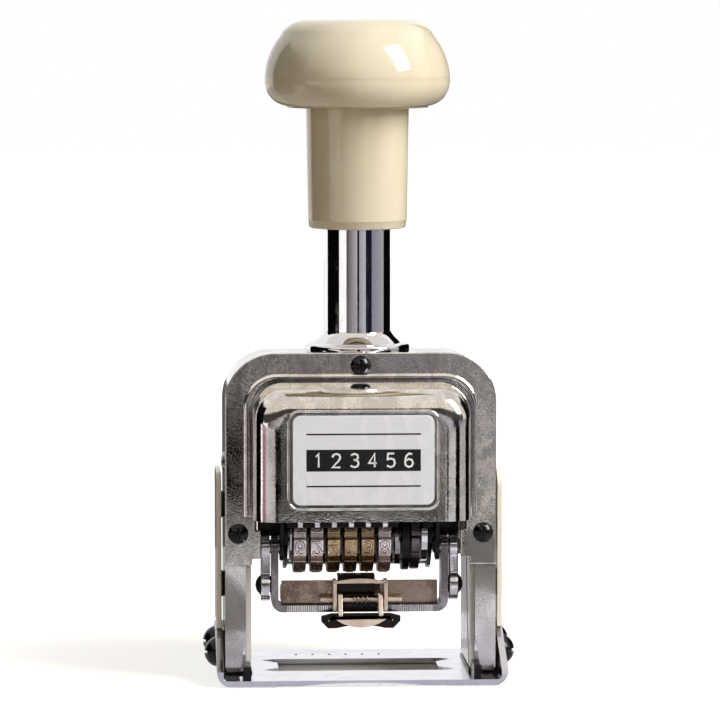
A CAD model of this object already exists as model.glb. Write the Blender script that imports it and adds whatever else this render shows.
"""Looks of a six-digit hand numbering machine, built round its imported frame.

Sizes in the classes are millimetres, and a mesh is scaled to metres when it is dressed.
A side outline is (d, z), where d is the distance forward of the plunger's axis, so y is -d.
"""
import logging
import math
from collections.abc import Callable, Iterable, Mapping, Sequence
from dataclasses import dataclass, field, replace
from enum import Enum
from functools import cache

import bmesh
import bpy
from mathutils import Matrix, Vector


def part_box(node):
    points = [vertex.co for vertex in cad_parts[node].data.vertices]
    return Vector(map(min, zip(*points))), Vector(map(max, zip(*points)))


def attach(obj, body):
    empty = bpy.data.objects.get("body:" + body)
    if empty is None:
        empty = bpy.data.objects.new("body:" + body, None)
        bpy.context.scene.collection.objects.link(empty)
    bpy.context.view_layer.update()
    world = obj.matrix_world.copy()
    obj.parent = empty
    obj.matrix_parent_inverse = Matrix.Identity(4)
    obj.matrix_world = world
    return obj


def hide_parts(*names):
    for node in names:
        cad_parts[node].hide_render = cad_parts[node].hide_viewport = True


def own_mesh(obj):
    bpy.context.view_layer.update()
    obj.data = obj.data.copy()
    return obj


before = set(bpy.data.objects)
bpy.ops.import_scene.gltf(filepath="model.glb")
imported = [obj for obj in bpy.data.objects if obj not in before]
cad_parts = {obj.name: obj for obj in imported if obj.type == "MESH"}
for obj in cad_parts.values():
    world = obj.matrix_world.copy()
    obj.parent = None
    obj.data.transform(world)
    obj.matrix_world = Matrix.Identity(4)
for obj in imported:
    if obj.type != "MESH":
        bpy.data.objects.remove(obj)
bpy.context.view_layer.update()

log = logging.getLogger("numbering_machine")

MM = 0.001
TINY = 1e-6
WELD_REACH = 2e-7
FLAT_ANGLE = 0.6
MITRE_LIMIT = 1.6
STROKE_SUNK = 0.1
COIL_STEPS = 20
COIL_FLAT_SHARE = 0.55
Pair = tuple[float, float]
Point = tuple[float, float, float]
Colour = tuple[float, float, float, float]
Loop = list[bmesh.types.BMVert]
Place = Callable[[float, float, float], Vector]
Piece = bpy.types.Object
Material = bpy.types.Material
NodeTree = bpy.types.NodeTree
Node = bpy.types.Node
Socket = bpy.types.NodeSocket


class Side(Enum):
    """Left or right half of the machine, as seen from the front."""

    LEFT = -1
    RIGHT = 1

    @property
    def word(self) -> str:
        """Name of the side as the frame's nodes spell it."""
        return self.name.lower()


class Run(Enum):
    """Direction that a turned or extruded form runs along."""

    ACROSS = "x"
    FORWARD = "y"
    UP = "z"

    def at(self, a: float, b: float, run: float) -> Vector:
        """Point of a section's two numbers at a place along the run.

        Args:
            a: First number of the section: d, x or x.
            b: Second number of the section: z, z or y.
            run: Place along the run: x, d or z.

        Returns:
            The point in the machine's frame, in millimetres.
        """
        if self is Run.ACROSS:
            return Vector((run, -a, b))
        if self is Run.FORWARD:
            return Vector((a, -run, b))
        return Vector((a, b, run))


def arc(cx: float, cy: float, radius: float, start: float, end: float, steps: int) -> list[Pair]:
    """Points along a circular arc.

    Args:
        cx: First number of the centre.
        cy: Second number of the centre.
        radius: Radius of the arc.
        start: Angle of the first point, in degrees.
        end: Angle of the last point, in degrees.
        steps: How many spans the arc has.

    Returns:
        The points from start to end.
    """
    angles = [math.radians(start + (end - start) * i / steps) for i in range(steps + 1)]
    return [(cx + radius * math.cos(a), cy + radius * math.sin(a)) for a in angles]


def linear(hex_colour: str) -> Colour:
    """Scene-linear colour of a written display colour.

    Args:
        hex_colour: The colour as #RRGGBB.

    Returns:
        Red, green, blue and an alpha of 1.
    """
    parts = [int(hex_colour[i : i + 2], 16) / 255 for i in (1, 3, 5)]
    lit = [p / 12.92 if p <= 0.04045 else ((p + 0.055) / 1.055) ** 2.4 for p in parts]
    return (lit[0], lit[1], lit[2], 1.0)


class Blank:
    """A mesh that is being shaped, in millimetres, before it is dressed as a piece."""

    def __init__(self) -> None:
        """Starts an empty mesh."""
        self.mesh = bmesh.new()

    def loop(self, points: Iterable[Vector]) -> Loop:
        """New vertices at the points, in order."""
        return [self.mesh.verts.new(p) for p in points]

    def skin(self, loops: Sequence[Loop], closed: bool = True, capped: bool = True) -> None:
        """Joins loops of equal length with quads.

        Args:
            loops: The loops, in order.
            closed: Whether each loop ends where it began.
            capped: Whether the first and last loops are filled.
        """
        for one, other in zip(loops, loops[1:]):
            count = len(one)
            for i in range(count if closed else count - 1):
                j = (i + 1) % count
                self.mesh.faces.new((one[i], one[j], other[j], other[i]))
        if capped:
            self.mesh.faces.new(loops[0])
            self.mesh.faces.new(loops[-1])

    def extrude(self, outline: Sequence[Pair], run: Run, start: float, end: float) -> None:
        """Adds a prism of an outline.

        Args:
            outline: Section of the prism, counted round once.
            run: Direction of the prism.
            start: First place along the run.
            end: Last place along the run.
        """
        self.skin([self.loop(run.at(a, b, t) for a, b in outline) for t in (start, end)])

    def brick(self, low: Point, high: Point) -> None:
        """Adds a block between two corners."""
        (x0, y0, z0), (x1, y1, z1) = low, high
        self.extrude([(x0, y0), (x1, y0), (x1, y1), (x0, y1)], Run.UP, z0, z1)

    def turn(
        self, profile: Sequence[Pair], run: Run = Run.UP, centre: Pair = (0.0, 0.0), steps: int = 112,
        ring: bool = False,
    ) -> None:
        """Adds a turned form.

        Args:
            profile: Points of radius and place along the run.
            run: Direction of the form's axis.
            centre: The axis in the run's section.
            steps: How many spans a turn has.
            ring: Whether the profile closes on itself.
        """
        loops: list[Loop] = []
        for radius, t in profile:
            section = [centre] if radius < TINY else arc(*centre, radius, 0, 360, steps)[:-1]
            loops.append(self.loop(run.at(a, b, t) for a, b in section))
        pairs = list(zip(loops, loops[1:])) + ([(loops[-1], loops[0])] if ring else [])
        for one, other in pairs:
            for i in range(steps):
                j = (i + 1) % steps
                around = ((one, i), (one, j), (other, j), (other, i))
                corners = list(dict.fromkeys(loop[k % len(loop)] for loop, k in around))
                if len(corners) > 2:
                    self.mesh.faces.new(corners)

    def sweep(self, path: Sequence[Vector], radius: float, sides: int) -> None:
        """Adds a round wire along a path.

        Args:
            path: Points of the wire's centre line.
            radius: Radius of the wire.
            sides: How many sides the wire's section has.
        """
        loops: list[Loop] = []
        across = Vector((0.0, 0.0, 1.0))
        for i, point in enumerate(path):
            heading = (path[min(i + 1, len(path) - 1)] - path[max(i - 1, 0)]).normalized()
            across = (across - heading * across.dot(heading)).normalized()
            if across.length < 0.5:
                across = heading.orthogonal().normalized()
            other = heading.cross(across)
            rim = arc(0, 0, radius, 0, 360, sides)[:-1]
            loops.append(self.loop(point + across * a + other * b for a, b in rim))
        self.skin(loops)

    def stroke(self, points: Sequence[Pair], width: float, height: float, place: Place) -> None:
        """Adds a raised flat stroke along a line that is drawn on a surface.

        Args:
            points: The line in the surface's own two numbers.
            width: Width of the stroke.
            height: Height of the stroke above the surface.
            place: Gives the point of two surface numbers and a height.
        """
        closed = math.dist(points[0], points[-1]) < TINY
        line = list(points[:-1]) if closed else list(points)
        loops: list[Loop] = []
        for i, (u, v) in enumerate(line):
            before = line[i - 1] if closed or i > 0 else None
            after = line[(i + 1) % len(line)] if closed or i < len(line) - 1 else None
            spans = [
                ((q[0] - p[0]) / math.dist(p, q), (q[1] - p[1]) / math.dist(p, q))
                for p, q in ((before, (u, v)), ((u, v), after))
                if p is not None and q is not None
            ]
            heading = (sum(s[0] for s in spans), sum(s[1] for s in spans))
            size = math.hypot(*heading) or 1.0
            mitre = min(MITRE_LIMIT, len(spans) / size)
            du, dv = -heading[1] / size * width / 2 * mitre, heading[0] / size * width / 2 * mitre
            left, right = (u + du, v + dv), (u - du, v - dv)
            corners = ((*left, -STROKE_SUNK), (*left, height), (*right, height), (*right, -STROKE_SUNK))
            loops.append(self.loop(place(*corner) for corner in corners))
        self.skin(loops + [loops[0]] if closed else loops, capped=not closed)

    def dress(
        self,
        name: str,
        body: str,
        finish: "Finish",
        stands_for: Sequence[str] = (),
        edge: float = 0.0,
        crease: float = 32.0,
        rounds: int = 2,
    ) -> Piece:
        """Turns the mesh into a piece of the machine.

        Args:
            name: Name of the piece.
            body: Body that the piece rides on.
            finish: The piece's finish.
            stands_for: Nodes of the frame that the piece replaces.
            edge: Width that edges are eased by, in millimetres.
            crease: Angle between faces above which an edge is eased, in degrees.
            rounds: How many facets an eased edge has.

        Returns:
            The piece.
        """
        bmesh.ops.recalc_face_normals(self.mesh, faces=self.mesh.faces)
        self.mesh.transform(Matrix.Scale(MM, 4))
        data = bpy.data.meshes.new(name)
        self.mesh.to_mesh(data)
        self.mesh.free()
        data.polygons.foreach_set("use_smooth", [True] * len(data.polygons))
        data.set_sharp_from_angle(angle=math.radians(crease))
        data.materials.append(finish.material())
        piece = bpy.data.objects.new(name, data)
        bpy.context.scene.collection.objects.link(piece)
        if edge:
            ease = piece.modifiers.new("eased_edges", "BEVEL")
            ease.width = edge * MM
            ease.segments = rounds
            ease.limit_method = "ANGLE"
            ease.angle_limit = math.radians(crease)
            ease.harden_normals = True
        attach(piece, body)
        if stands_for:
            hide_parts(*stands_for)
        log.info("%s: %d faces on %s", name, len(data.polygons), body)
        return piece


def eased_copy(node: str, body: str, finish: "Finish", edge: float) -> None:
    """Makes a piece with a node's form and softened edges, in place of that node.

    Args:
        node: The frame's node.
        body: Body that the node rides on.
        finish: The piece's finish.
        edge: Width that edges are eased by, in millimetres.
    """
    blank = Blank()
    mesh = blank.mesh
    mesh.from_mesh(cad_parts[node].data)
    bmesh.ops.remove_doubles(mesh, verts=mesh.verts, dist=WELD_REACH)
    flat = math.radians(FLAT_ANGLE)
    bmesh.ops.dissolve_limit(mesh, angle_limit=flat, verts=mesh.verts, edges=mesh.edges)
    mesh.transform(Matrix.Scale(1 / MM, 4))
    blank.dress(f"{node}_skin", body, finish, (node,), edge)


class Recipe:
    """Nodes of a material or of a shared effect, with short ways to add them."""

    def __init__(self, tree: NodeTree) -> None:
        """Takes the node tree that the nodes go into."""
        self.tree = tree

    def put(self, kind: str, feeds: Mapping | None = None, **settings: object) -> Node:
        """Adds a node.

        Args:
            kind: The node's type.
            feeds: Input sockets with a value or with the socket that feeds them.
            settings: Properties of the node.

        Returns:
            The node.
        """
        node = self.tree.nodes.new(kind)
        for key, value in settings.items():
            setattr(node, key, value)
        for key, value in (feeds or {}).items():
            if isinstance(value, Socket):
                self.lead(value, node, key)
            else:
                node.inputs[key].default_value = value
        return node

    def lead(self, value: Socket, node: Node, key: str | int) -> None:
        """Feeds a node's input from a socket."""
        self.tree.links.new(value, node.inputs[key])

    def sum(self, operation: str, one: object, other: object, clamp: bool = False) -> Socket:
        """Result of one operation on two values."""
        return self.put("ShaderNodeMath", {0: one, 1: other}, operation=operation, use_clamp=clamp).outputs[0]

    def times(self, one: object, other: object) -> Socket:
        """Product of two values."""
        return self.sum("MULTIPLY", one, other)

    def span(
        self, value: object, low: float, high: float, to_low: float = 0.0, to_high: float = 1.0
    ) -> Socket:
        """Value moved from one range to another, with a soft start and end."""
        feeds = {"Value": value, "From Min": low, "From Max": high, "To Min": to_low, "To Max": to_high}
        return self.put("ShaderNodeMapRange", feeds, interpolation_type="SMOOTHSTEP").outputs[0]

    def blend(self, share: object, one: object, other: object) -> Socket:
        """Colour between two colours."""
        return self.put("ShaderNodeMix", {0: share, 6: one, 7: other}, data_type="RGBA").outputs[2]

    def where(self, stretch: Point = (1.0, 1.0, 1.0)) -> Socket:
        """Place on the piece in the machine's frame, stretched."""
        place = self.put("ShaderNodeTexCoord").outputs["Object"]
        return self.put("ShaderNodeMapping", {"Vector": place, "Scale": stretch}).outputs[0]

    def noise(
        self, scale: object, detail: float = 3.0, twist: float = 0.0, stretch: Point = (1.0, 1.0, 1.0)
    ) -> Socket:
        """Cloudy value from 0 to 1."""
        feeds = {"Vector": self.where(stretch), "Scale": scale, "Detail": detail, "Distortion": twist}
        return self.put("ShaderNodeTexNoise", feeds).outputs[0]

    def effect(self, group: NodeTree, **values: float) -> Mapping[str, Socket]:
        """Outputs of a shared effect placed with its own values, written with _ for a space."""
        feeds = {key.replace("_", " "): value for key, value in values.items()}
        return self.put("ShaderNodeGroup", feeds, node_tree=group).outputs

    def emboss(self, shader: Node, height: Socket, strength: float, depth: float) -> None:
        """Gives a surface shader the relief of a height."""
        bump = self.put("ShaderNodeBump", {"Strength": strength, "Distance": depth, "Height": height})
        self.lead(bump.outputs[0], shader, "Normal")


class Effects:
    """Effects that several finishes share, each a node group that is built once."""

    @staticmethod
    def start(name: str, inputs: Mapping[str, float], *outputs: str) -> tuple[Recipe, Mapping, Node]:
        """Starts a group with named float sockets.

        Args:
            name: The group's name.
            inputs: The inputs and their first values.
            outputs: The outputs.

        Returns:
            The group's recipe, what its inputs give, and its output node.
        """
        tree = bpy.data.node_groups.new(name, "ShaderNodeTree")
        for label, value in inputs.items():
            socket = tree.interface.new_socket(label, in_out="INPUT", socket_type="NodeSocketFloat")
            socket.default_value = value
        for label in outputs:
            tree.interface.new_socket(label, in_out="OUTPUT", socket_type="NodeSocketFloat")
        recipe = Recipe(tree)
        return recipe, recipe.put("NodeGroupInput").outputs, recipe.put("NodeGroupOutput")

    @classmethod
    @cache
    def rubbed_edges(cls) -> NodeTree:
        """Mask of the outer edges that hands and neighbours have rubbed bright.

        Returns:
            The group, with its reach in metres and the scale that breaks it up.
        """
        recipe, into, out = cls.start("rubbed_edges", {"Reach": 0.0003, "Breakup": 900.0}, "Mask")
        eased = recipe.put("ShaderNodeBevel", {"Radius": into["Reach"]}, samples=4).outputs[0]
        flat = recipe.put("ShaderNodeNewGeometry").outputs["Normal"]
        turned = recipe.put("ShaderNodeVectorMath", {0: eased, 1: flat}, operation="DOT_PRODUCT")
        bend = recipe.span(recipe.sum("SUBTRACT", 1.0, turned.outputs["Value"]), 0.02, 0.22)
        patchy = recipe.span(recipe.noise(into["Breakup"], 4.0), 0.36, 0.62)
        recipe.lead(recipe.times(bend, patchy), out, "Mask")
        return recipe.tree

    @classmethod
    @cache
    def mottle(cls) -> NodeTree:
        """Uneven plating: broad clouds broken by fine grain, as a mask and a height.

        Returns:
            The group, with the scales of clouds and grain and the grain's share.
        """
        inputs = {"Clouds": 170.0, "Grain": 2600.0, "Grain Share": 0.35}
        recipe, into, out = cls.start("mottle", inputs, "Mask", "Height")
        broad = recipe.noise(into["Clouds"], 2.0, 0.9, (1.0, 1.0, 0.72))
        fine = recipe.sum("SUBTRACT", recipe.noise(into["Grain"]), 0.5)
        mixed = recipe.sum("ADD", broad, recipe.times(fine, into["Grain Share"]))
        recipe.lead(recipe.span(mixed, 0.34, 0.66), out, "Mask")
        recipe.lead(mixed, out, "Height")
        return recipe.tree

    @classmethod
    @cache
    def handling(cls) -> NodeTree:
        """Smears and hairline scratches that handling leaves, as a mask and a height.

        Returns:
            The group, with the scales of smears and scratches.
        """
        recipe, into, out = cls.start("handling", {"Smears": 90.0, "Scratches": 700.0}, "Mask", "Height")
        smear = recipe.span(recipe.noise(into["Smears"], 5.0, 1.6, (1.0, 1.0, 0.4)), 0.45, 0.75)
        fine = recipe.noise(into["Scratches"], 2.0, 0.0, (6.0, 6.0, 0.35))
        cross = recipe.noise(into["Scratches"], 2.0, 0.6, (0.4, 5.0, 4.0))
        line = recipe.span(recipe.sum("MAXIMUM", fine, cross), 0.66, 0.74)
        recipe.lead(recipe.sum("MAXIMUM", smear, recipe.times(line, 0.7)), out, "Mask")
        recipe.lead(recipe.times(line, -1.0), out, "Height")
        return recipe.tree

    @classmethod
    @cache
    def corners(cls) -> NodeTree:
        """Mask of the inner corners where dust and oil gather.

        Returns:
            The group, with its reach in metres and the scale that breaks it up.
        """
        recipe, into, out = cls.start("corners", {"Reach": 0.0012, "Breakup": 1400.0}, "Mask")
        open_air = recipe.put("ShaderNodeAmbientOcclusion", {"Distance": into["Reach"]}, samples=6)
        patchy = recipe.span(recipe.noise(into["Breakup"]), 0.25, 0.6, 0.55, 1.0)
        shut = recipe.span(recipe.sum("SUBTRACT", 1.0, open_air.outputs["AO"]), 0.18, 0.72)
        recipe.lead(recipe.times(shut, patchy), out, "Mask")
        return recipe.tree


@dataclass(frozen=True)
class Finish:
    """Base of the finishes: a name, the record's slot, and a material made once."""

    name: str
    slot: str

    def material(self) -> Material:
        """The finish's material, built on first use.

        Returns:
            The material.
        """
        found = bpy.data.materials.get(self.name)
        if found is None:
            found = bpy.data.materials.new(self.name)
            found.use_nodes = True
            self.mix(Recipe(found.node_tree), found.node_tree.nodes["Principled BSDF"])
        return found

    def mix(self, recipe: Recipe, shader: Node) -> None:
        """Adds the finish's nodes and feeds the surface shader from them."""
        raise NotImplementedError


@dataclass(frozen=True)
class PlatedMetal(Finish):
    """Bright or dark metal with smears, scratches, rubbed edges and dirty corners."""

    bright: str
    dull: str
    rubbed: str = "#F2F0F0"
    dirt: str = "#1B1817"
    smooth: float = 0.06
    rough: float = 0.18
    mottled: float = 0.25
    cloud_scale: float = 170.0
    grain_share: float = 0.35
    relief: float = 0.05
    rub_reach: float = 0.00025
    metal: float = 1.0
    dirt_share: float = 0.6

    def mix(self, recipe: Recipe, shader: Node) -> None:
        """Adds the metal's nodes.

        Args:
            recipe: The material's nodes.
            shader: Its surface shader.
        """
        clouds = recipe.effect(
            Effects.mottle(), Clouds=self.cloud_scale, Grain=2600.0, Grain_Share=self.grain_share
        )
        hands = recipe.effect(Effects.handling(), Smears=95.0, Scratches=650.0)
        edges = recipe.effect(Effects.rubbed_edges(), Reach=self.rub_reach, Breakup=900.0)
        nooks = recipe.effect(Effects.corners(), Reach=0.0011, Breakup=1500.0)
        share = recipe.times(clouds["Mask"], self.mottled)
        tone = recipe.blend(share, linear(self.bright), linear(self.dull))
        tone = recipe.blend(edges["Mask"], tone, linear(self.rubbed))
        soiled = recipe.times(nooks["Mask"], self.dirt_share)
        recipe.lead(recipe.blend(soiled, tone, linear(self.dirt)), shader, "Base Color")
        shader.inputs["Metallic"].default_value = self.metal
        worn = recipe.sum("MAXIMUM", hands["Mask"], recipe.times(clouds["Mask"], 0.7))
        gloss = recipe.span(recipe.sum("MAXIMUM", worn, soiled), 0.0, 1.0, self.smooth, self.rough)
        recipe.lead(gloss, shader, "Roughness")
        height = recipe.sum("ADD", clouds["Height"], recipe.times(hands["Height"], 0.06))
        recipe.emboss(shader, height, self.relief, 0.0004)


@dataclass(frozen=True)
class IvoryPlastic(Finish):
    """Glossy cream moulding with faint flow marks and handled patches."""

    pale: str = "#DFD5BD"
    deep: str = "#D6CAB0"
    aged: str = "#A08F70"
    gloss: float = 0.1

    def mix(self, recipe: Recipe, shader: Node) -> None:
        """Adds the plastic's nodes.

        Args:
            recipe: The material's nodes.
            shader: Its surface shader.
        """
        hands = recipe.effect(Effects.handling(), Smears=70.0, Scratches=500.0)
        nooks = recipe.effect(Effects.corners(), Reach=0.0014, Breakup=900.0)
        flow = recipe.span(recipe.noise(60.0, 3.0, 0.7, (1.0, 1.0, 0.3)), 0.35, 0.7)
        tone = recipe.blend(flow, linear(self.pale), linear(self.deep))
        tone = recipe.blend(recipe.times(nooks["Mask"], 0.55), tone, linear(self.aged))
        recipe.lead(tone, shader, "Base Color")
        rough = recipe.span(hands["Mask"], 0.0, 1.0, self.gloss, self.gloss + 0.12)
        recipe.lead(rough, shader, "Roughness")
        shader.inputs["Coat Weight"].default_value = 0.25
        shader.inputs["Coat Roughness"].default_value = 0.05
        shader.inputs["Subsurface Weight"].default_value = 0.06
        shader.inputs["Subsurface Radius"].default_value = (0.004, 0.003, 0.002)
        height = recipe.sum("ADD", recipe.noise(1700.0, 2.0), recipe.times(hands["Height"], 0.5))
        recipe.emboss(shader, height, 0.035, 0.0002)


@dataclass(frozen=True)
class PlainCoat(Finish):
    """Non-metal coat, from soft rubber to printed enamel, with dust and small wear."""

    colour: str
    worn: str
    gloss: float
    relief: float
    grain: float = 2200.0

    def mix(self, recipe: Recipe, shader: Node) -> None:
        """Adds the coat's nodes.

        Args:
            recipe: The material's nodes.
            shader: Its surface shader.
        """
        hands = recipe.effect(Effects.handling(), Smears=160.0, Scratches=800.0)
        edges = recipe.effect(Effects.rubbed_edges(), Reach=0.0002, Breakup=1300.0)
        patch = recipe.span(recipe.noise(240.0, 4.0), 0.3, 0.7, 0.0, 0.5)
        share = recipe.sum("MAXIMUM", edges["Mask"], patch, True)
        recipe.lead(recipe.blend(share, linear(self.colour), linear(self.worn)), shader, "Base Color")
        rough = recipe.span(hands["Mask"], 0.0, 1.0, self.gloss, min(1.0, self.gloss + 0.15))
        recipe.lead(rough, shader, "Roughness")
        recipe.emboss(shader, recipe.noise(self.grain), self.relief, 0.0002)


CREAM = IvoryPlastic("ivory_plastic", "cream")
COVER_PLASTIC = IvoryPlastic("cover_plastic", "cream", "#E9E3D5", "#E1DACA", "#A39374", 0.12)
GUIDE_PLASTIC = IvoryPlastic("guide_plastic", "cream", "#CFCDC6", "#C2C0B8", "#8A887F", 0.12)
CHROME = PlatedMetal("bright_chrome", "chrome", "#EDECEE", "#D6D4D8", smooth=0.02, rough=0.09, relief=0.012)
BASE_CHROME = PlatedMetal(
    "satin_chrome", "chrome", "#E6E5EE", "#C9C7D4", smooth=0.08, rough=0.22, relief=0.03, dirt_share=0.8
)
SATIN_CHROME = PlatedMetal(
    "tumbled_chrome", "chrome", "#F2F0F3", "#C9C7CC", "#FAF9FA",
    smooth=0.1, rough=0.24, mottled=0.5, cloud_scale=260.0, grain_share=0.6,
)
BAIL_CHROME = replace(
    SATIN_CHROME, name="worn_chrome", bright="#A9A6AA", dull="#77747A", rubbed="#E2E0E3",
    mottled=0.6, dirt_share=0.9,
)
NICKEL = PlatedMetal(
    "mottled_nickel", "nickel", "#F4F1EE", "#C0BCB9", "#FBF9F6",
    smooth=0.04, rough=0.13, mottled=0.6, cloud_scale=200.0, grain_share=0.6, relief=0.045,
)
LEG_NICKEL = PlatedMetal(
    "brushed_nickel", "nickel", "#EAE7E6", "#A8A4A2", "#FAF8F6",
    smooth=0.05, rough=0.15, mottled=0.6, cloud_scale=110.0, grain_share=0.4, relief=0.02,
)
BLACKED = PlatedMetal(
    "black_oxide", "black_steel", "#191618", "#0D0B0D", "#6E6A6B", "#050505",
    smooth=0.2, rough=0.42, mottled=0.6, grain_share=0.8, relief=0.12, metal=0.55, rub_reach=0.00016,
)
SCREW_BLACK = PlatedMetal(
    "polished_black", "black_steel", "#0E0B0D", "#080607", "#4A4647", "#030303",
    smooth=0.1, rough=0.25, mottled=0.5, relief=0.04, metal=0.3, rub_reach=0.0002,
)
PINK_TYPE = PlatedMetal(
    "pale_type_metal", "type_metal", "#FFF4EE", "#DBCBC5", "#FFFAF6", "#171312",
    smooth=0.2, rough=0.4, mottled=0.6, cloud_scale=420.0, grain_share=0.8, relief=0.16, dirt_share=0.85,
)
BROWN_TYPE = replace(
    PINK_TYPE, name="brown_type_metal", bright="#DCC29C", dull="#A08862", rubbed="#F2E4C4", dirt="#16120D"
)
BRONZED = PlatedMetal(
    "bronzed_plate", "bronze_plate", "#B3A092", "#6E5B4D", "#E0D3C6", "#0F0B09",
    smooth=0.16, rough=0.34, mottled=0.7, cloud_scale=110.0, grain_share=0.5, relief=0.08,
)
BRIGHT_EDGE = PlatedMetal(
    "bright_cut_edge", "bronze_plate", "#F2E2D2", "#D2BFAE", "#FFF8F0", "#1A1410",
    smooth=0.14, rough=0.3, mottled=0.5, cloud_scale=240.0, metal=0.45,
)
DARK_PLATE = PlatedMetal(
    "dark_bronzed_plate", "bronze_plate", "#241B16", "#120D0B", "#8A7868", "#060404",
    smooth=0.2, rough=0.4, mottled=0.6, relief=0.08, metal=0.6,
)
STEEL = PlatedMetal(
    "spring_steel", "steel", "#A7A4A2", "#6F6B69", "#DAD7D4", "#15120F",
    smooth=0.16, rough=0.34, mottled=0.6, relief=0.08,
)
DARK_STEEL = PlatedMetal(
    "dark_steel", "steel", "#6E6866", "#322E2D", "#B5B0AD", "#0A0808",
    smooth=0.2, rough=0.4, mottled=0.6, relief=0.1,
)
INK = PlainCoat("dried_ink", "black_steel", "#151010", "#241C1A", 0.35, 0.2)
RUBBER = PlainCoat("washer_rubber", "rubber", "#181818", "#2B2A29", 0.7, 0.3, 1500.0)
PLATE = PlainCoat("label_enamel", "label", "#E4E5EE", "#ECECF3", 0.24, 0.02, 900.0)
PRINT = PlainCoat("printed_black", "label", "#0B0B0C", "#161617", 0.3, 0.05)
PRINT_WHITE = PlainCoat("printed_white", "label", "#F1F1F4", "#E3E3E8", 0.3, 0.05)

# Lines of each numeral, drawn 1 wide and NUMERAL_RISE high.
NUMERAL_RISE = 1.6
NUMERALS: dict[int, list[list[Pair]]] = {
    0: [[
        (0.5, 0), (0.14, 0.14), (0, 0.5), (0, 1.1), (0.14, 1.46), (0.5, 1.6), (0.86, 1.46), (1, 1.1),
        (1, 0.5), (0.86, 0.14), (0.5, 0),
    ]],
    1: [[(0.22, 1.25), (0.56, 1.6), (0.56, 0)]],
    2: [[(0.02, 1.18), (0.12, 1.46), (0.5, 1.6), (0.88, 1.46), (0.98, 1.14), (0.8, 0.78), (0, 0), (1, 0)]],
    3: [
        [(0.05, 1.4), (0.45, 1.6), (0.88, 1.44), (0.93, 1.1), (0.7, 0.88), (0.36, 0.86)],
        [(0.5, 0.86), (0.9, 0.74), (1, 0.42), (0.84, 0.1), (0.45, 0), (0, 0.2)],
    ],
    4: [[(0.74, 0), (0.74, 1.6), (0, 0.48), (1, 0.48)]],
    5: [[
        (0.92, 1.6), (0.14, 1.6), (0.08, 0.9), (0.5, 1.02), (0.88, 0.88), (1, 0.5), (0.84, 0.12), (0.45, 0),
        (0, 0.18),
    ]],
    6: [[
        (0.9, 1.5), (0.5, 1.6), (0.14, 1.28), (0, 0.7), (0.06, 0.24), (0.42, 0), (0.82, 0.1), (1, 0.46),
        (0.84, 0.84), (0.46, 0.94), (0.08, 0.74),
    ]],
    7: [[(0, 1.6), (1, 1.6), (0.4, 0)]],
    8: [
        [(0.5, 0.87), (0.12, 1.05), (0.1, 1.42), (0.5, 1.6), (0.9, 1.42), (0.88, 1.05), (0.5, 0.87)],
        [(0.5, 0.87), (0.06, 0.6), (0.03, 0.2), (0.5, 0), (0.97, 0.2), (0.94, 0.6), (0.5, 0.87)],
    ],
}
NUMERALS[9] = [[(1 - u, NUMERAL_RISE - v) for u, v in NUMERALS[6][0]]]


def draw_numeral(
    blank: Blank, digit: int, size: Pair, line: float, relief: float, place: Place
) -> None:
    """Draws one numeral in raised strokes, centred on the surface's origin.

    Args:
        blank: Mesh that the strokes go into.
        digit: The numeral, 0 to 9.
        size: Width and height of the numeral.
        line: Width of its strokes.
        relief: Height of the strokes above the surface.
        place: Gives the point of two surface numbers and a height.
    """
    width, height = size
    for points in NUMERALS[digit]:
        scaled = [((u - 0.5) * width, (v / NUMERAL_RISE - 0.5) * height) for u, v in points]
        blank.stroke(scaled, line, relief, place)


def helix(
    centre: Vector, axis: Run, radius: float, turns: int, start: float, end: float
) -> list[Vector]:
    """Centre line of a coil whose end turns lie flat.

    Args:
        centre: Point on the coil's axis.
        axis: Direction of the axis.
        radius: Radius of the coil.
        turns: How many turns it has.
        start: First place along the axis.
        end: Last place along the axis.

    Returns:
        The points.
    """
    count = turns * COIL_STEPS
    points = []
    for i in range(count + 1):
        share = i / count
        eased = share - COIL_FLAT_SHARE / turns * math.sin(2 * math.pi * share) / (2 * math.pi)
        angle = 2 * math.pi * turns * share
        offset = axis.at(radius * math.cos(angle), radius * math.sin(angle), start + (end - start) * eased)
        points.append(centre + offset)
    return points


@dataclass
class Handle:
    """Turned cream knob and its sleeve."""

    bottom: float = 127.5
    top: float = 147.0
    socket_r: float = 7.7
    socket_top: float = 131.0
    sleeve_bottom: float = 100.5

    def build(self) -> None:
        """Makes both pieces."""
        self.knob()
        self.sleeve()

    def knob(self) -> None:
        """Mushroom cap with the fine line where its mould halves met."""
        blank = Blank()
        lower = arc(15.3, 133.3, 5.5, -84, 0, 14)
        upper = arc(4.9, 133.5, 15.9, 3.9, 38, 14)
        crown = arc(11.2, 139.8, 7.2, 36, 90, 14)
        seam = [(20.77, 134.32), (20.795, 134.42), (20.795, 134.5)]
        socket = [(0, self.socket_top), (self.socket_r, self.socket_top), (self.socket_r, self.bottom)]
        crest = [(7.5, self.top - 0.02), (0, self.top)]
        rim = [(15.9, self.bottom)]
        blank.turn(socket + rim + lower + seam + upper[1:] + crown[1:] + crest, steps=128)
        blank.dress("knob_cap", "plunger", CREAM, ("knob",), crease=40)

    def sleeve(self) -> None:
        """Tapered sleeve with a softened lower rim."""
        blank = Blank()
        low = self.sleeve_bottom
        blank.turn(
            [
                (self.socket_r, self.bottom), (self.socket_r, low + 0.4), (self.socket_r + 0.4, low),
                (10.35, low), (10.65, low + 0.1), (10.85, low + 0.35), (11.0, low + 1.7), (11.13, low + 1.8),
                (11.2, low + 4), (11.55, self.bottom),
            ],
            ring=True,
        )
        blank.dress("handle_sleeve_tube", "plunger", CREAM, ("handle_sleeve",), crease=50)


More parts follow.
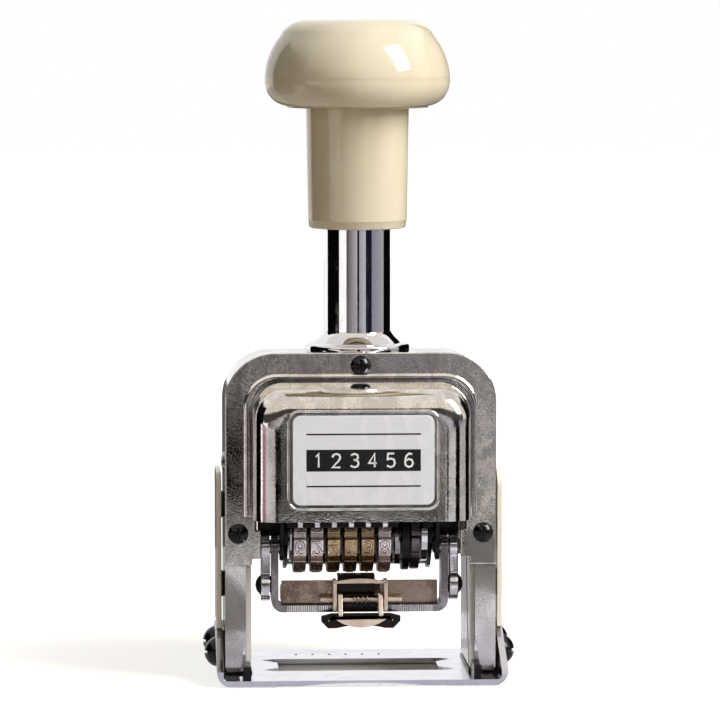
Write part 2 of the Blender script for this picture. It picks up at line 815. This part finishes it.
@dataclass
class GuideColumn:
    """Chromed tube, its flared collar, and the spring and rod inside."""

    tube_r: float = 7.4
    wall: float = 1.2
    foot: float = 66.0
    top: float = 106.0
    casting_top: float = 72.2
    spring_r: float = 5.2
    spring_wire: float = 0.6
    spring_foot: float = 70.0
    spring_top: float = 131.0

    def build(self) -> None:
        """Makes the pieces of the column."""
        self.tube()
        self.collar()
        self.spring()
        eased_copy("guide_bush", "frame", STEEL, 0.2)
        eased_copy("plunger_rod", "plunger", STEEL, 0.25)
        eased_copy("rod_nut", "plunger", STEEL, 0.25)
        eased_copy("stop_washer", "plunger", RUBBER, 0.1)

    def tube(self) -> None:
        """Tube with an eased upper rim."""
        blank = Blank()
        inner, outer, top = self.tube_r - self.wall, self.tube_r, self.top
        blank.turn(
            [
                (inner, self.foot), (outer, self.foot), (outer, top - 0.7), (outer, top - 0.35),
                (outer - 0.12, top - 0.1), (outer - 0.4, top), (inner + 0.3, top), (inner, top - 0.3),
            ],
            ring=True,
        )
        blank.dress("guide_tube_wall", "frame", CHROME, ("guide_tube",), crease=50)

    def collar(self) -> None:
        """Collar with a thick rolled rim and a straight flare up to the tube."""
        blank = Blank()
        low, top = self.casting_top, self.casting_top + 5.1
        rim = [(11.45, low)] + arc(11.2, low + 0.75, 0.5, -40, 0, 4) + arc(11.0, low + 1.7, 0.7, 0, 88, 8)
        flare = [
            (10.3, 2.44), (10.05, 2.5), (9.75, 2.72), (9.0, 3.36), (8.25, 4.05), (7.85, 4.52), (7.66, 4.84),
        ]
        slope = [(r, low + z) for r, z in flare]
        blank.turn([(self.tube_r, low)] + rim + slope + [(7.56, top), (self.tube_r, top)], ring=True)
        blank.dress("guide_collar_flare", "frame", CHROME, ("guide_collar",), crease=60)

    def spring(self) -> None:
        """Return spring, pressed together as the handle goes down."""
        blank = Blank()
        start, end = self.spring_foot + self.spring_wire, self.spring_top - self.spring_wire
        line = helix(Vector((0, 0, 0)), Run.UP, self.spring_r, 14, start, end)
        blank.sweep(line, self.spring_wire, 8)
        piece = blank.dress("return_spring_coil", "plunger", STEEL, ("return_spring",), crease=60)
        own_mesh(piece)


@dataclass
class PressedCover:
    """Pressed cover of one side: flange, bead, and a dome with an open bottom."""

    node: str
    face_d: float
    way: int
    half_width: float = 25.0
    top: float = 67.8
    corner: float = 7.0
    corner_loss: float = 0.39
    bottom: float = 37.0
    flange_d: float = 14.0
    sheet: float = 0.8
    frame_half: float = 30.2
    frame_top: float = 73.5
    shoulder: float = 11.0

    def build(self) -> None:
        """Makes the flange and the dome."""
        self.flange()
        self.dome()

    def out(self, x: float, d: float, z: float) -> Vector:
        """Point at a distance outward from the plunger's axis on this cover's side."""
        return Vector((x, -d * self.way, z))

    def section(self, inset: float, drop: float) -> list[Pair]:
        """Arch of the dome from its lower left to its lower right.

        Args:
            inset: How far its sides are drawn in.
            drop: How far its crown is lowered.

        Returns:
            The points (x, z).
        """
        half, crown = self.half_width - inset, self.top - drop
        r = self.corner - self.corner_loss * inset
        side = [(-half, self.bottom + (crown - r - self.bottom) * i / 8) for i in range(8)]
        left = arc(-half + r, crown - r, r, 180, 90, 12)
        across = [(-half + r + (2 * half - 2 * r) * i / 8, crown) for i in range(1, 8)]
        return side + left + across + [(-x, z) for x, z in reversed(side + left)]

    def flange(self) -> None:
        """Flat flange on the frame, with two ears below the dome."""
        rim, low = self.half_width - 1.4, 26.0
        outer = [(self.frame_half, low)] + arc(
            self.frame_half - self.shoulder, self.frame_top - self.shoulder, self.shoulder, 0, 90, 20
        )
        roof = self.top - 1.0
        inner = [
            (0.0, roof), (rim - 6, roof), (rim, self.top - 7), (rim, 37), (rim, 34), (22.3, 34), (22.3, 27.5),
            (24.2, 27.5), (24.2, low),
        ]
        left = [(-x, z) for x, z in reversed(outer)]
        blank = Blank()
        points = outer + left + [(-x, z) for x, z in reversed(inner)] + inner[1:]
        depths = (self.flange_d - 1.0, self.flange_d)
        blank.skin([blank.loop(self.out(x, d, z) for x, z in points) for d in depths])
        blank.dress(f"{self.node}_flange", "frame", NICKEL, (self.node,), edge=0.32, crease=28, rounds=3)

    def dome(self) -> None:
        """Dome with a bead at its foot and a rounded edge to its face."""
        depth = self.face_d - self.flange_d
        foot = [(-1.1, -0.15), (-0.95, 0.22), (-0.6, 0.46), (-0.2, 0.5), (0.15, 0.36), (0.4, 0.34)]
        rise = [
            (0.55, 0.5, 0.1), (0.75, 0.9, 0.3), (0.95, 1.4, 0.5), (1.2, 1.9, 0.64), (1.6, 2.4, 0.75),
            (2.1, 2.9, 0.828), (2.7, 3.4, 0.886), (3.4, 4.0, 0.93), (4.2, 4.75, 0.963), (5.1, 5.5, 0.986),
            (6.1, 6.3, 0.998), (7.0, 7.0, 1.0),
        ]
        stations = [(i, i, self.flange_d + d) for i, d in foot]
        stations += [(i, drop, self.flange_d + depth * share) for i, drop, share in rise]
        blank = Blank()
        loops = [blank.loop(self.out(x, d, z) for x, z in self.section(i, drop)) for i, drop, d in stations]
        blank.skin(loops, closed=False, capped=False)
        blank.mesh.faces.new(loops[-1])
        piece = blank.dress(f"{self.node}_dome", "frame", NICKEL, crease=50)
        wall = piece.modifiers.new("sheet", "SOLIDIFY")
        wall.thickness = self.sheet * MM
        wall.offset = -1.0
        ease = piece.modifiers.new("rim", "BEVEL")
        ease.width, ease.segments, ease.limit_method = 0.15 * MM, 2, "ANGLE"
        ease.angle_limit = math.radians(55)
        piece.modifiers.new("flat_faces", "WEIGHTED_NORMAL").keep_sharp = True
        self.face_outward(piece)

    def face_outward(self, piece: Piece) -> None:
        """Turns the dome's faces so that its sheet thickens inward.

        Args:
            piece: The dome.
        """
        largest = max(piece.data.polygons, key=lambda p: p.area)
        if largest.normal.y * self.way > 0:
            piece.data.flip_normals()


@dataclass
class LabelPlate:
    """Enamelled plate on the front cover, with plain counting numerals, and the bead round it."""

    width: float = 31.2
    height: float = 19.8
    corner: float = 1.7
    z: float = 50.7
    face_d: float = 25.0
    front_d: float = 25.35
    digit_pitch: float = 4.0
    digit_size: Pair = (1.75, 3.0)
    digit_line: float = 0.42
    digit_relief: float = 0.04

    def outline(self, grow: float, corner: float) -> list[Pair]:
        """Rounded rectangle round the plate's centre.

        Args:
            grow: How much larger than the plate it is on every side.
            corner: Radius of its corners.

        Returns:
            The points (x, z), counted round once.
        """
        w, h = self.width / 2 + grow - corner, self.height / 2 + grow - corner
        corners = ((w, h, 0), (-w, h, 90), (-w, -h, 180), (w, -h, 270))
        return [p for x, z, a in corners for p in arc(x, self.z + z, corner, a, a + 90, 8)]

    def on_face(self, u: float, v: float, height: float) -> Vector:
        """Point of the plate's face."""
        return Vector((u, -self.front_d + 0.06 - height, self.z + v))

    def build(self) -> None:
        """Makes the plate, its printed bar and numerals, and the bead."""
        plate = Blank()
        plate.extrude(self.outline(0, self.corner), Run.FORWARD, self.face_d - 0.3, self.front_d - 0.06)
        plate.dress("label_plate_enamel", "frame", PLATE, ("label_plate",), edge=0.14, crease=40, rounds=3)
        bead = Blank()
        ring = [Vector((x, -self.face_d + 0.05, z)) for x, z in self.outline(0.95, self.corner + 0.7)]
        bead.sweep(ring + ring[:2], 0.32, 10)
        bead.dress("label_bead", "frame", NICKEL, crease=60)
        bar = Blank()
        for low, high, top_d in ((-2.4, 2.4, 0.04), (5.6, 5.95, 0.045), (-5.9, -5.55, 0.045)):
            outline = [(x, self.z + z) for x, z in ((-12.6, low), (12.6, low), (12.6, high), (-12.6, high))]
            bar.extrude(outline, Run.FORWARD, self.front_d - 0.2, self.front_d - top_d)
        bar.dress("label_bar", "frame", PRINT)
        digits = Blank()
        for digit in range(1, 7):
            at = self.digit_pitch * (digit - 3.5)

            def place(u: float, v: float, height: float, at: float = at) -> Vector:
                """Point of the plate's face, with this numeral at the origin."""
                return self.on_face(at + u, v, height)

            draw_numeral(digits, digit, self.digit_size, self.digit_line, self.digit_relief, place)
        digits.dress("label_numerals", "frame", PRINT_WHITE)


@dataclass
class NumberWheel:
    """One wheel: a drum with ten type blocks, their numerals, and a ratchet beside it."""

    index: int
    shows: int
    finish: Finish
    pitch: float = 3.8
    first_x: float = -13.3
    shaft_z: float = 31.9
    width: float = 2.85
    face_r: float = 9.12
    core_r: float = 7.6
    bore_r: float = 2.55
    ratchet_w: float = 0.65
    block_half: float = 13.3
    foot_half: float = 13.9
    digit_size: Pair = (1.62, 3.15)
    ink_line: float = 0.66
    ink_relief: float = 0.03
    type_line: float = 0.34
    type_relief: float = 0.165

    @property
    def x(self) -> float:
        """Centre of the wheel across the machine."""
        return self.first_x + (self.index - 1) * self.pitch

    @property
    def node(self) -> str:
        """Name of the wheel's node."""
        return f"number_wheel_{self.index}"

    @property
    def body(self) -> str:
        """Body that the wheel rides on."""
        return f"wheel_{self.index}"

    def block_angle(self, k: int) -> float:
        """Middle of block k, in degrees from the front, upward."""
        return -90.0 + 36.0 * k

    def build(self) -> None:
        """Makes the wheel's pieces."""
        self.drum()
        self.numerals()
        self.ratchet()

    def drum(self) -> None:
        """Drum and type blocks."""
        blank = Blank()
        low, high = self.x - self.width / 2, self.x + self.width / 2
        core = [(self.bore_r, low), (self.core_r, low), (self.core_r, high), (self.bore_r, high)]
        blank.turn(core, Run.ACROSS, (0, self.shaft_z), 80, ring=True)
        for k in range(10):
            a = self.block_angle(k)
            foot = arc(0, self.shaft_z, self.core_r - 0.3, a - self.foot_half, a + self.foot_half, 6)
            face = arc(0, self.shaft_z, self.face_r, a + self.block_half, a - self.block_half, 6)
            blank.extrude(foot + face, Run.ACROSS, low, high)
        blank.dress(f"{self.node}_type", self.body, self.finish, (self.node,), 0.16, 24)

    def numerals(self) -> None:
        """Raised mirror-image numerals, with dried ink at their feet."""
        ink, type_face = Blank(), Blank()
        for k in range(10):
            a = self.block_angle(k)

            def place(u: float, v: float, height: float, a: float = a) -> Vector:
                """Point of this block's face."""
                turn, r = math.radians(a) - v / self.face_r, self.face_r + height
                return Run.ACROSS.at(r * math.cos(turn), self.shaft_z + r * math.sin(turn), self.x + u)

            digit = (self.shows + k) % 10
            draw_numeral(ink, digit, self.digit_size, self.ink_line, self.ink_relief, place)
            draw_numeral(type_face, digit, self.digit_size, self.type_line, self.type_relief, place)
        ink.dress(f"{self.node}_ink", self.body, INK)
        type_face.dress(f"{self.node}_numerals", self.body, self.finish)

    def ratchet(self) -> None:
        """Ten-tooth ratchet at the right of the drum."""
        blank = Blank()
        low = self.x + self.width / 2
        outline = []
        for i in range(10):
            for r, lag in ((6.7, 24), (6.2, 5), (7.3, 0)):
                a = math.radians(36 * i) - math.radians(lag)
                outline.append((r * math.cos(a), self.shaft_z + r * math.sin(a)))
        blank.extrude(outline, Run.ACROSS, low, low + self.ratchet_w)
        blank.dress(f"{self.node}_ratchet", self.body, DARK_STEEL, edge=0.06, crease=30)


@dataclass
class WheelBank:
    """The six wheels and what turns beside them on the shaft."""

    shown: tuple[int, ...] = (4, 0, 2, 9, 1, 6)

    def build(self) -> None:
        """Makes the wheels, the cam, the selector and the bushes."""
        for i, digit in enumerate(self.shown, 1):
            NumberWheel(i, digit, PINK_TYPE if i in (1, 2, 6) else BROWN_TYPE).build()
        eased_copy("unit_ratchet", "wheel_6", STEEL, 0.06)
        eased_copy("wheel_shaft", "plunger", STEEL, 0.15)
        eased_copy("shaft_bush_left", "plunger", CHROME, 0.12)
        eased_copy("shaft_bush_right", "plunger", CHROME, 0.12)
        eased_copy("feed_cam", "plunger", BLACKED, 0.12)
        eased_copy("selector_disc", "selector", DARK_STEEL, 0.12)


@dataclass
class Carriage:
    """Yoke on the plunger with the comb, the fingers, and the pawl frame."""

    ear_x: Pair = (17.6, 22.6)
    ear_y: Pair = (-3.3, -0.6)
    ear_z: Pair = (31.3, 40.0)

    def build(self) -> None:
        """Makes the pieces."""
        eased_copy("yoke", "plunger", BLACKED, 0.15)
        eased_copy("detent_comb", "plunger", BLACKED, 0.08)
        eased_copy("detent_fingers", "plunger", CHROME, 0.06)
        eased_copy("pad_pivot_pins", "plunger", CHROME, 0.15)
        ears = Blank()
        for side in Side:
            across = sorted(side.value * x for x in self.ear_x)
            low, high = zip(across, self.ear_y, self.ear_z)
            ears.brick(low, high)
        ears.dress("yoke_ears", "plunger", BLACKED, edge=0.2)
        for side in Side:
            eased_copy(f"pawl_plate_{side.word}", "pawl_frame", BLACKED, 0.12)
        eased_copy("pawl_tie_rod", "pawl_frame", CHROME, 0.1)
        eased_copy("pawl_pivot_rod", "pawl_frame", STEEL, 0.1)
        eased_copy("feed_pawl", "pawl", BLACKED, 0.1)


@dataclass
class PadCarrier:
    """Swinging carrier under the wheels: arms, bail, tray, clip and thumb latch."""

    spring_r: float = 0.76
    spring_wire: float = 0.18
    bar_z: Pair = (14.95, 16.45)
    teeth: int = 22
    tooth_pitch: float = 0.42
    first_tooth_x: float = 7.3

    def build(self) -> None:
        """Makes the pieces."""
        for side in Side:
            eased_copy(f"pad_arm_{side.word}", "pad_carrier", SATIN_CHROME, 0.4)
        eased_copy("pad_joint_screws", "pad_carrier", SCREW_BLACK, 0.15)
        eased_copy("pad_bail", "pad_carrier", BAIL_CHROME, 0.3)
        eased_copy("pad_tray", "pad_carrier", BRONZED, 0.12)
        eased_copy("latch_pin", "pad_carrier", BRIGHT_EDGE, 0.1)
        self.clip()
        self.latch()
        self.spring()
        self.serration()

    def serration(self) -> None:
        """Fine upright serration along the front of the bail's bar, on both sides of the clip."""
        blank, mark = Blank(), Blank()
        front = -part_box("pad_bail")[0][1] / MM
        low, high = self.bar_z
        for side in Side:
            for i in range(self.teeth):
                x = side.value * (self.first_tooth_x + self.tooth_pitch * i)
                blank.brick((x - 0.15, -front - 0.14, low), (x + 0.15, -front + 0.3, high))
        blank.dress("pad_bail_serration", "pad_carrier", SATIN_CHROME, edge=0.04)
        mark.brick((-3.9, -front - 0.1, low), (3.9, -front + 0.3, high))
        mark.dress("pad_bail_oil_mark", "pad_carrier", BLACKED, edge=0.04)

    def clip(self) -> None:
        """Open box that carries the latch's pin, its cut edges bright."""
        blank = Blank()
        side = [(8, 16.5), (9.9, 16.5), (9.9, 15.5), (12.6, 15.5), (12.6, 22.3), (8, 22.3)]
        for low, high in ((-6.1, -5.3), (5.3, 6.1)):
            blank.extrude(side, Run.ACROSS, low, high)
        lip = [(6.1, 21.7), (-6.1, 21.7), (-6.1, 22.3)] + arc(0, -1.7, 24.45, 104, 76, 8) + [(6.1, 22.3)]
        blank.extrude(lip, Run.FORWARD, 11.8, 12.6)
        blank.dress("clip_box_walls", "pad_carrier", BRIGHT_EDGE, ("clip_box",), edge=0.12)

    def latch(self) -> None:
        """Thumb latch: bright ears, and a dark tab and hook with a bright bowed lip."""
        ears, plate, lip = Blank(), Blank(), Blank()
        ear = [
            (10.1, 19.1), (12.2, 19.1), (12.7, 17.4), (14.2, 15), (14.2, 13.6), (13.3, 13.6), (11.8, 15.6),
            (10.2, 16.7),
        ]
        for low, high in ((-5.0, -4.0), (4.0, 5.0)):
            ears.extrude(ear, Run.ACROSS, low, high)
        ears.dress("thumb_latch_ears", "latch", BRIGHT_EDGE, ("thumb_latch",), edge=0.14)
        tab = [
            (8.85, 13.4), (8.85, 14.6), (6.6, 15.2), (-6.6, 15.2), (-8.85, 14.6), (-8.85, 13.4), (-7.3, 11.8),
        ]
        plate.extrude(tab + arc(0, -9.8, 22.3, 104, 76, 8) + [(7.3, 11.8)], Run.FORWARD, 13.3, 14.05)
        hook = [
            (10.2, 18.7), (10.2, 17), (8.9, 17.6), (8.5, 19), (8.5, 22.7), (6.3, 22.7), (6.3, 23.3),
            (9.2, 23.3), (9.2, 19.4),
        ]
        plate.extrude(hook, Run.ACROSS, -5.0, 3.4)
        plate.brick((-5.0, -10.2, 17.2), (5.0, -9.6, 18.8))
        plate.dress("thumb_latch_plate", "latch", DARK_PLATE, edge=0.14)
        bow = [(7.3, 13.3), (7.1, 13.8), (6.4, 13.95), (-6.4, 13.95), (-7.1, 13.8), (-7.3, 13.3)]
        lip.extrude(bow + arc(0, 21.6, 9.6, 228, 312, 12), Run.FORWARD, 13.9, 14.3)
        lip.dress("thumb_latch_lip", "latch", BRIGHT_EDGE, edge=0.16, rounds=3)

    def spring(self) -> None:
        """Torsion spring on the latch's pin."""
        blank = Blank()
        line = helix(Vector((0, -11.3, 17.9)), Run.ACROSS, self.spring_r, 4, -1.4, 2.2)
        blank.sweep(line, self.spring_wire, 8)
        blank.dress("latch_spring_coil", "pad_carrier", STEEL, ("latch_spring",), crease=60)


@dataclass
class Stand:
    """Frame casting, its plastic walls and covers, and the base that it stands on."""

    def build(self) -> None:
        """Makes the fixed pieces."""
        eased_copy("frame_casting", "frame", LEG_NICKEL, 0.45)
        eased_copy("base_plate", "frame", BASE_CHROME, 0.22)
        for side in Side:
            eased_copy(f"base_shoe_{side.word}", "frame", BLACKED, 0.12)
            eased_copy(f"inner_guide_{side.word}", "frame", GUIDE_PLASTIC, 0.15)
            eased_copy(f"side_cover_{side.word}", "frame", COVER_PLASTIC, 0.4)
        for node in ("base_screws", "front_cover_screws", "back_cover_screws"):
            eased_copy(node, "frame", SCREW_BLACK, 0.1)
        eased_copy("side_rivets", "frame", STEEL, 0.1)
        eased_copy("lock_bush", "frame", CHROME, 0.2)
        eased_copy("lock_button", "lock", BLACKED, 0.3)
        PressedCover("front_cover", 25.0, 1).build()
        PressedCover("back_cover", 22.0, -1, frame_top=72.2).build()
        LabelPlate().build()


@dataclass(frozen=True)
class Panel:
    """Studio panel that only mirrors see: a strip of floor in one sector, with a wall at its far end.

    Bearings are degrees round the machine, 0 toward the camera and positive to its right. A panel
    with a foot hangs above the floor and has no strip. A panel with an end tone fades toward it.
    """

    start: float
    end: float
    tone: str
    near: float = 0.22
    far: float = 0.9
    top: float = 0.0
    foot: float = 0.0
    end_tone: str = ""


@dataclass(frozen=True)
class Card:
    """Trapezoid on the floor before the machine that only mirrors see, in metres."""

    near: float
    far: float
    near_x: Pair
    far_x: Pair
    tone: str


QUAD = ((0, 1, 3, 2),)
WHITE: Colour = (1.0, 1.0, 1.0, 1.0)


def level(half_x: float, half_y: float, z: float) -> list[Point]:
    """Corners of a level rectangle round the machine's axis."""
    return [(x, y, z) for y in (-half_y, half_y) for x in (-half_x, half_x)]


@dataclass
class Studio:
    """Pale floor, soft lamps, and panels that the plated metal mirrors."""

    warm_shade: Colour = (1.0, 0.9, 0.74, 1.0)
    diffuse_sky: float = 0.23
    lit_point: Point = (0.0, 0.0, 0.08)
    floor_half: float = 3.0
    ceiling_half: float = 2.0
    ceiling_z: float = 2.4
    panel_z: float = 0.0003
    card_z: float = 0.0006
    fading_step: float = 4.0
    plain_step: float = 30.0
    panels: dict[str, Panel] = field(default_factory=lambda: {
        "far_left": Panel(-132, -70, "#060606", 0.9, 1.45, 1.0),
        "left": Panel(-42, -3.5, "#4A4543", 0.9, 1.45, 0.16, end_tone="#BDB8B8"),
        "post": Panel(-3.5, 3.0, "#0C0C0D", 0.9, 1.45, 0.16),
        "right_gap": Panel(3.0, 26, "#A4A2A8", 0.9, 1.45, 0.16, end_tone="#C4C2CA"),
        "right_post": Panel(26, 48, "#1C1826", 0.9, 1.45, 0.16),
        "right": Panel(48, 101, "#8C8998", 0.9, 1.45, 0.16, end_tone="#ACABAC"),
        "far_right": Panel(101, 162, "#070707", 0.9, 1.45, 1.0),
        "mid_rear_left": Panel(-166, -132, "#C8C5C1"),
        "mid_far_left": Panel(-132, -86, "#040404"),
        "mid_mauve": Panel(-74, -53, "#A07C88"),
        "mid_left": Panel(-53, -16, "#D0CAC8", end_tone="#BAB4B2"),
        "mid_left_post": Panel(-16, -2, "#050505"),
        "mid_right_post": Panel(7, 14, "#070707"),
        "mid_right": Panel(14, 36, "#C8C4C2"),
        "mid_right_bar": Panel(36, 54, "#040404"),
        "mid_right_rear": Panel(54, 95, "#B6B4B4"),
        "mid_far_right": Panel(95, 132, "#040404"),
        "mid_rear_right": Panel(132, 166, "#787779"),
        "near_front_left": Panel(-8, 2, "#D6D2D4", 0.09, 0.22),
        "near_left": Panel(-90, -8, "#827D7C", 0.09, 0.22),
        "near_front_right": Panel(2, 10, "#9C9899", 0.09, 0.15),
        "near_right": Panel(10, 90, "#E8E6EC", 0.09, 0.15),
        "near_right_out": Panel(2, 90, "#928E8B", 0.15, 0.22),
        "near_rear": Panel(90, 270, "#B5B2B6", 0.09, 0.22),
        "foot": Panel(-180, 180, "#C4C2CC", 0.027, 0.05),
        "foot_rim_left": Panel(-180, 0, "#BDB9BE", 0.05, 0.09),
        "foot_rim_right": Panel(0, 180, "#ECEAF2", 0.05, 0.09),
        "behind": Panel(166, 194, "#5A5859", 0.22, 1.45),
        "brow": Panel(-75, 75, "#45403D", 1.49, 1.5, 0.55, 0.1),
        "screen": Panel(-105, 105, "#EEE6DA", 1.59, 1.6, 2.3, 0.1),
    })
    cards: dict[str, Card] = field(default_factory=lambda: {
        "flat_ear": Card(0.22, 0.31, (-0.052, -0.0146), (-0.046, -0.0115), "#A09C9A"),
        "flat_dark": Card(0.31, 0.74, (-0.046, -0.0115), (-0.03, 0.0032), "#070606"),
        "flat_low": Card(0.27, 0.42, (-0.0128, 0.0419), (-0.0077, 0.0532), "#393635"),
        "flat_mid": Card(0.42, 0.74, (-0.0077, 0.0532), (0.0032, 0.0774), "#666260"),
        "flat_bright": Card(0.27, 0.74, (0.0419, 0.0583), (0.0774, 0.1006), "#CBC6C3"),
        "top_left": Card(0.74, 0.92, (-0.04, 0.034), (-0.04, 0.042), "#BCB6B3"),
        "top_right": Card(0.74, 0.92, (0.034, 0.14), (0.042, 0.16), "#585656"),
    })

    def build(self) -> None:
        """Makes the world, the floor, the lamps, the panels and the cards."""
        self.world()
        self.floor()
        self.lamp("key", (0.967, -0.604, 0.88), (0.45, 0.9), 25.0, True)
        self.lamp("fill", (-0.55, -1.2, 0.55), (0.5, 0.5), 0.8)
        self.lamp("top", (0.1, 0.1, 1.35), (0.7, 0.5), 1.5)
        for name, panel in self.panels.items():
            self.hang(name, panel)
        for name, card in self.cards.items():
            ends = ((card.near, card.near_x), (card.far, card.far_x))
            points = [(x, -y, self.card_z) for y, xs in ends for x in xs]
            self.leaf(f"card_{name}", points, linear(card.tone))
        self.leaf("ceiling", level(self.ceiling_half, self.ceiling_half, self.ceiling_z), linear("#EAE5E0"))

    def world(self) -> None:
        """White surroundings for the camera and for mirrors, dimmer and warmer for matt surfaces."""
        world = bpy.data.worlds.new("studio")
        bpy.context.scene.world = world
        world.use_nodes = True
        recipe = Recipe(world.node_tree)
        seen = self.seen(recipe)
        back = world.node_tree.nodes["Background"]
        recipe.lead(recipe.blend(seen, self.warm_shade, WHITE), back, "Color")
        recipe.lead(recipe.span(seen, 0.0, 1.0, self.diffuse_sky, 1.0), back, "Strength")

    @staticmethod
    def seen(recipe: Recipe) -> Socket:
        """Tells the rays that show a surface to the camera from the rest.

        Args:
            recipe: Nodes that the answer joins.

        Returns:
            1 for rays that reach the camera straight, in a mirror or through glass, and 0 for the rest.
        """
        path = recipe.put("ShaderNodeLightPath").outputs
        seen = recipe.sum("MAXIMUM", path["Is Camera Ray"], path["Is Glossy Ray"])
        return recipe.sum("MAXIMUM", seen, path["Is Transmission Ray"])

    def floor(self) -> None:
        """Pale floor that keeps the soft shadow and fades to white, and paper under the base."""
        recipe = self.sheet("floor", level(self.floor_half, self.floor_half, 0.0), (0.44, 0.41, 0.35, 1.0))
        shader = recipe.tree.nodes["Principled BSDF"]
        shader.inputs["Emission Color"].default_value = WHITE
        away = recipe.put("ShaderNodeVectorMath", {0: recipe.where()}, operation="LENGTH").outputs["Value"]
        glow = recipe.times(self.seen(recipe), recipe.span(away, 0.045, 0.15, 0.76, 1.0))
        recipe.lead(glow, shader, "Emission Strength")
        self.sheet("paper", level(0.03, 0.0185, 0.0001), (0.86, 0.85, 0.85, 1.0))

    @staticmethod
    def board(name: str, paint: str, points: Iterable[Point], faces: Iterable[tuple]) -> tuple[Piece, Recipe]:
        """Adds a thin piece of the studio.

        Args:
            name: Name of the piece.
            paint: Name of its material.
            points: The corners.
            faces: The faces, as places in the list of corners.

        Returns:
            The piece, and the recipe of its material.
        """
        mesh = bpy.data.meshes.new(name)
        mesh.from_pydata(list(points), [], list(faces))
        board = bpy.data.objects.new(name, mesh)
        bpy.context.scene.collection.objects.link(board)
        material = bpy.data.materials.new(paint)
        material.use_nodes = True
        mesh.materials.append(material)
        return board, Recipe(material.node_tree)

    def sheet(self, name: str, points: Iterable[Point], colour: Colour) -> Recipe:
        """Adds a matt sheet to the studio.

        Args:
            name: Name of the sheet.
            points: Its four corners.
            colour: Its colour.

        Returns:
            The recipe of its material.
        """
        sheet, recipe = self.board(name, f"{name}_paper", points, QUAD)
        feeds = {"Base Color": colour, "Roughness": 0.9, "Specular IOR Level": 0.0}
        for key, value in feeds.items():
            recipe.tree.nodes["Principled BSDF"].inputs[key].default_value = value
        return recipe

    def lamp(self, name: str, at: Point, size: Pair, power: float, mirrored: bool = False) -> None:
        """Adds a soft rectangular lamp that points at the machine.

        Args:
            name: Name of the lamp.
            at: Place of the lamp, in metres.
            size: Its width and height, in metres.
            power: Its power, in watts.
            mirrored: Whether mirrors show it.
        """
        data = bpy.data.lights.new(name, "AREA")
        data.shape = "RECTANGLE"
        data.size, data.size_y = size
        data.energy = power
        lamp = bpy.data.objects.new(name, data)
        lamp.location = at
        lamp.rotation_euler = (Vector(self.lit_point) - Vector(at)).to_track_quat("-Z", "Y").to_euler()
        lamp.visible_glossy = mirrored
        bpy.context.scene.collection.objects.link(lamp)

    def hang(self, name: str, panel: Panel) -> None:
        """Adds one panel in narrow leaves, each with its own step of the panel's tone.

        Args:
            name: Name of the panel.
            panel: Its place, size and tones.
        """
        width, spans = panel.end - panel.start, 6
        count = math.ceil(width / (self.fading_step if panel.end_tone else self.plain_step))
        one, other = linear(panel.tone), linear(panel.end_tone or panel.tone)
        strip = [(panel.near, self.panel_z), (panel.far, self.panel_z)]
        rows = [(panel.far, panel.foot)] if panel.foot else strip
        if panel.top:
            rows.append((panel.far, panel.top))
        quads = [
            (k, k + 1, k + spans + 2, k + spans + 1)
            for row in range(len(rows) - 1) for k in range(row * (spans + 1), row * (spans + 1) + spans)
        ]
        for i in range(count):
            bearings = [math.radians(panel.start + width * (i + k / spans) / count) for k in range(spans + 1)]
            points = [(math.sin(b) * r, -math.cos(b) * r, z) for r, z in rows for b in bearings]
            share = (i + 0.5) / count
            red, green, blue, _ = (a + (b - a) * share for a, b in zip(one, other))
            self.leaf(f"panel_{name}_{i}", points, (red, green, blue, 1.0), quads)

    def leaf(self, name: str, points: Iterable[Point], tone: Colour, faces: Iterable[tuple] = QUAD) -> None:
        """Adds one glowing leaf that only mirrors see.

        Args:
            name: Name of the leaf and of its material.
            points: Its corners, in metres.
            tone: Its colour.
            faces: Its faces, as places in the list of corners.
        """
        leaf, recipe = self.board(name, name, points, faces)
        glow = recipe.put("ShaderNodeEmission", {"Color": tone, "Strength": 1.0})
        recipe.lead(glow.outputs[0], recipe.tree.nodes["Material Output"], "Surface")
        leaf.visible_camera = leaf.visible_diffuse = leaf.visible_shadow = False
        leaf.visible_transmission = leaf.visible_volume_scatter = False


@dataclass
class Viewpoint:
    """Camera, as seen from in front and a little above."""

    distance: float = 1.0
    height: float = 0.158
    swing: float = -3.097
    aim: Point = (0.000578, 0.0, 0.07144)
    lens: float = 223.05
    film_width: float = 36.0

    def place(self) -> None:
        """Makes the camera and sets it as the scene's."""
        data = bpy.data.cameras.new("front_camera")
        data.lens = self.lens
        data.sensor_width = self.film_width
        data.clip_start, data.clip_end = 0.05, 30.0
        camera = bpy.data.objects.new("front_camera", data)
        a = math.radians(self.swing)
        at = Vector((math.sin(a) * self.distance, -math.cos(a) * self.distance, self.height))
        look = (Vector(self.aim) - at).to_track_quat("-Z", "Y").to_matrix().to_4x4()
        camera.matrix_world = Matrix.Translation(at) @ look
        bpy.context.scene.collection.objects.link(camera)
        bpy.context.scene.camera = camera


def main() -> None:
    """Builds the scene: camera, studio, then each assembly of the machine."""
    logging.basicConfig(level=logging.INFO, format="%(name)s: %(message)s")
    bpy.context.scene.view_settings.view_transform = "Standard"
    Viewpoint().place()
    Studio().build()
    for assembly in (Stand(), GuideColumn(), Handle(), Carriage(), WheelBank(), PadCarrier()):
        log.info("assembly: %s", type(assembly).__name__)
        assembly.build()


if __name__ == "__main__":
    main()
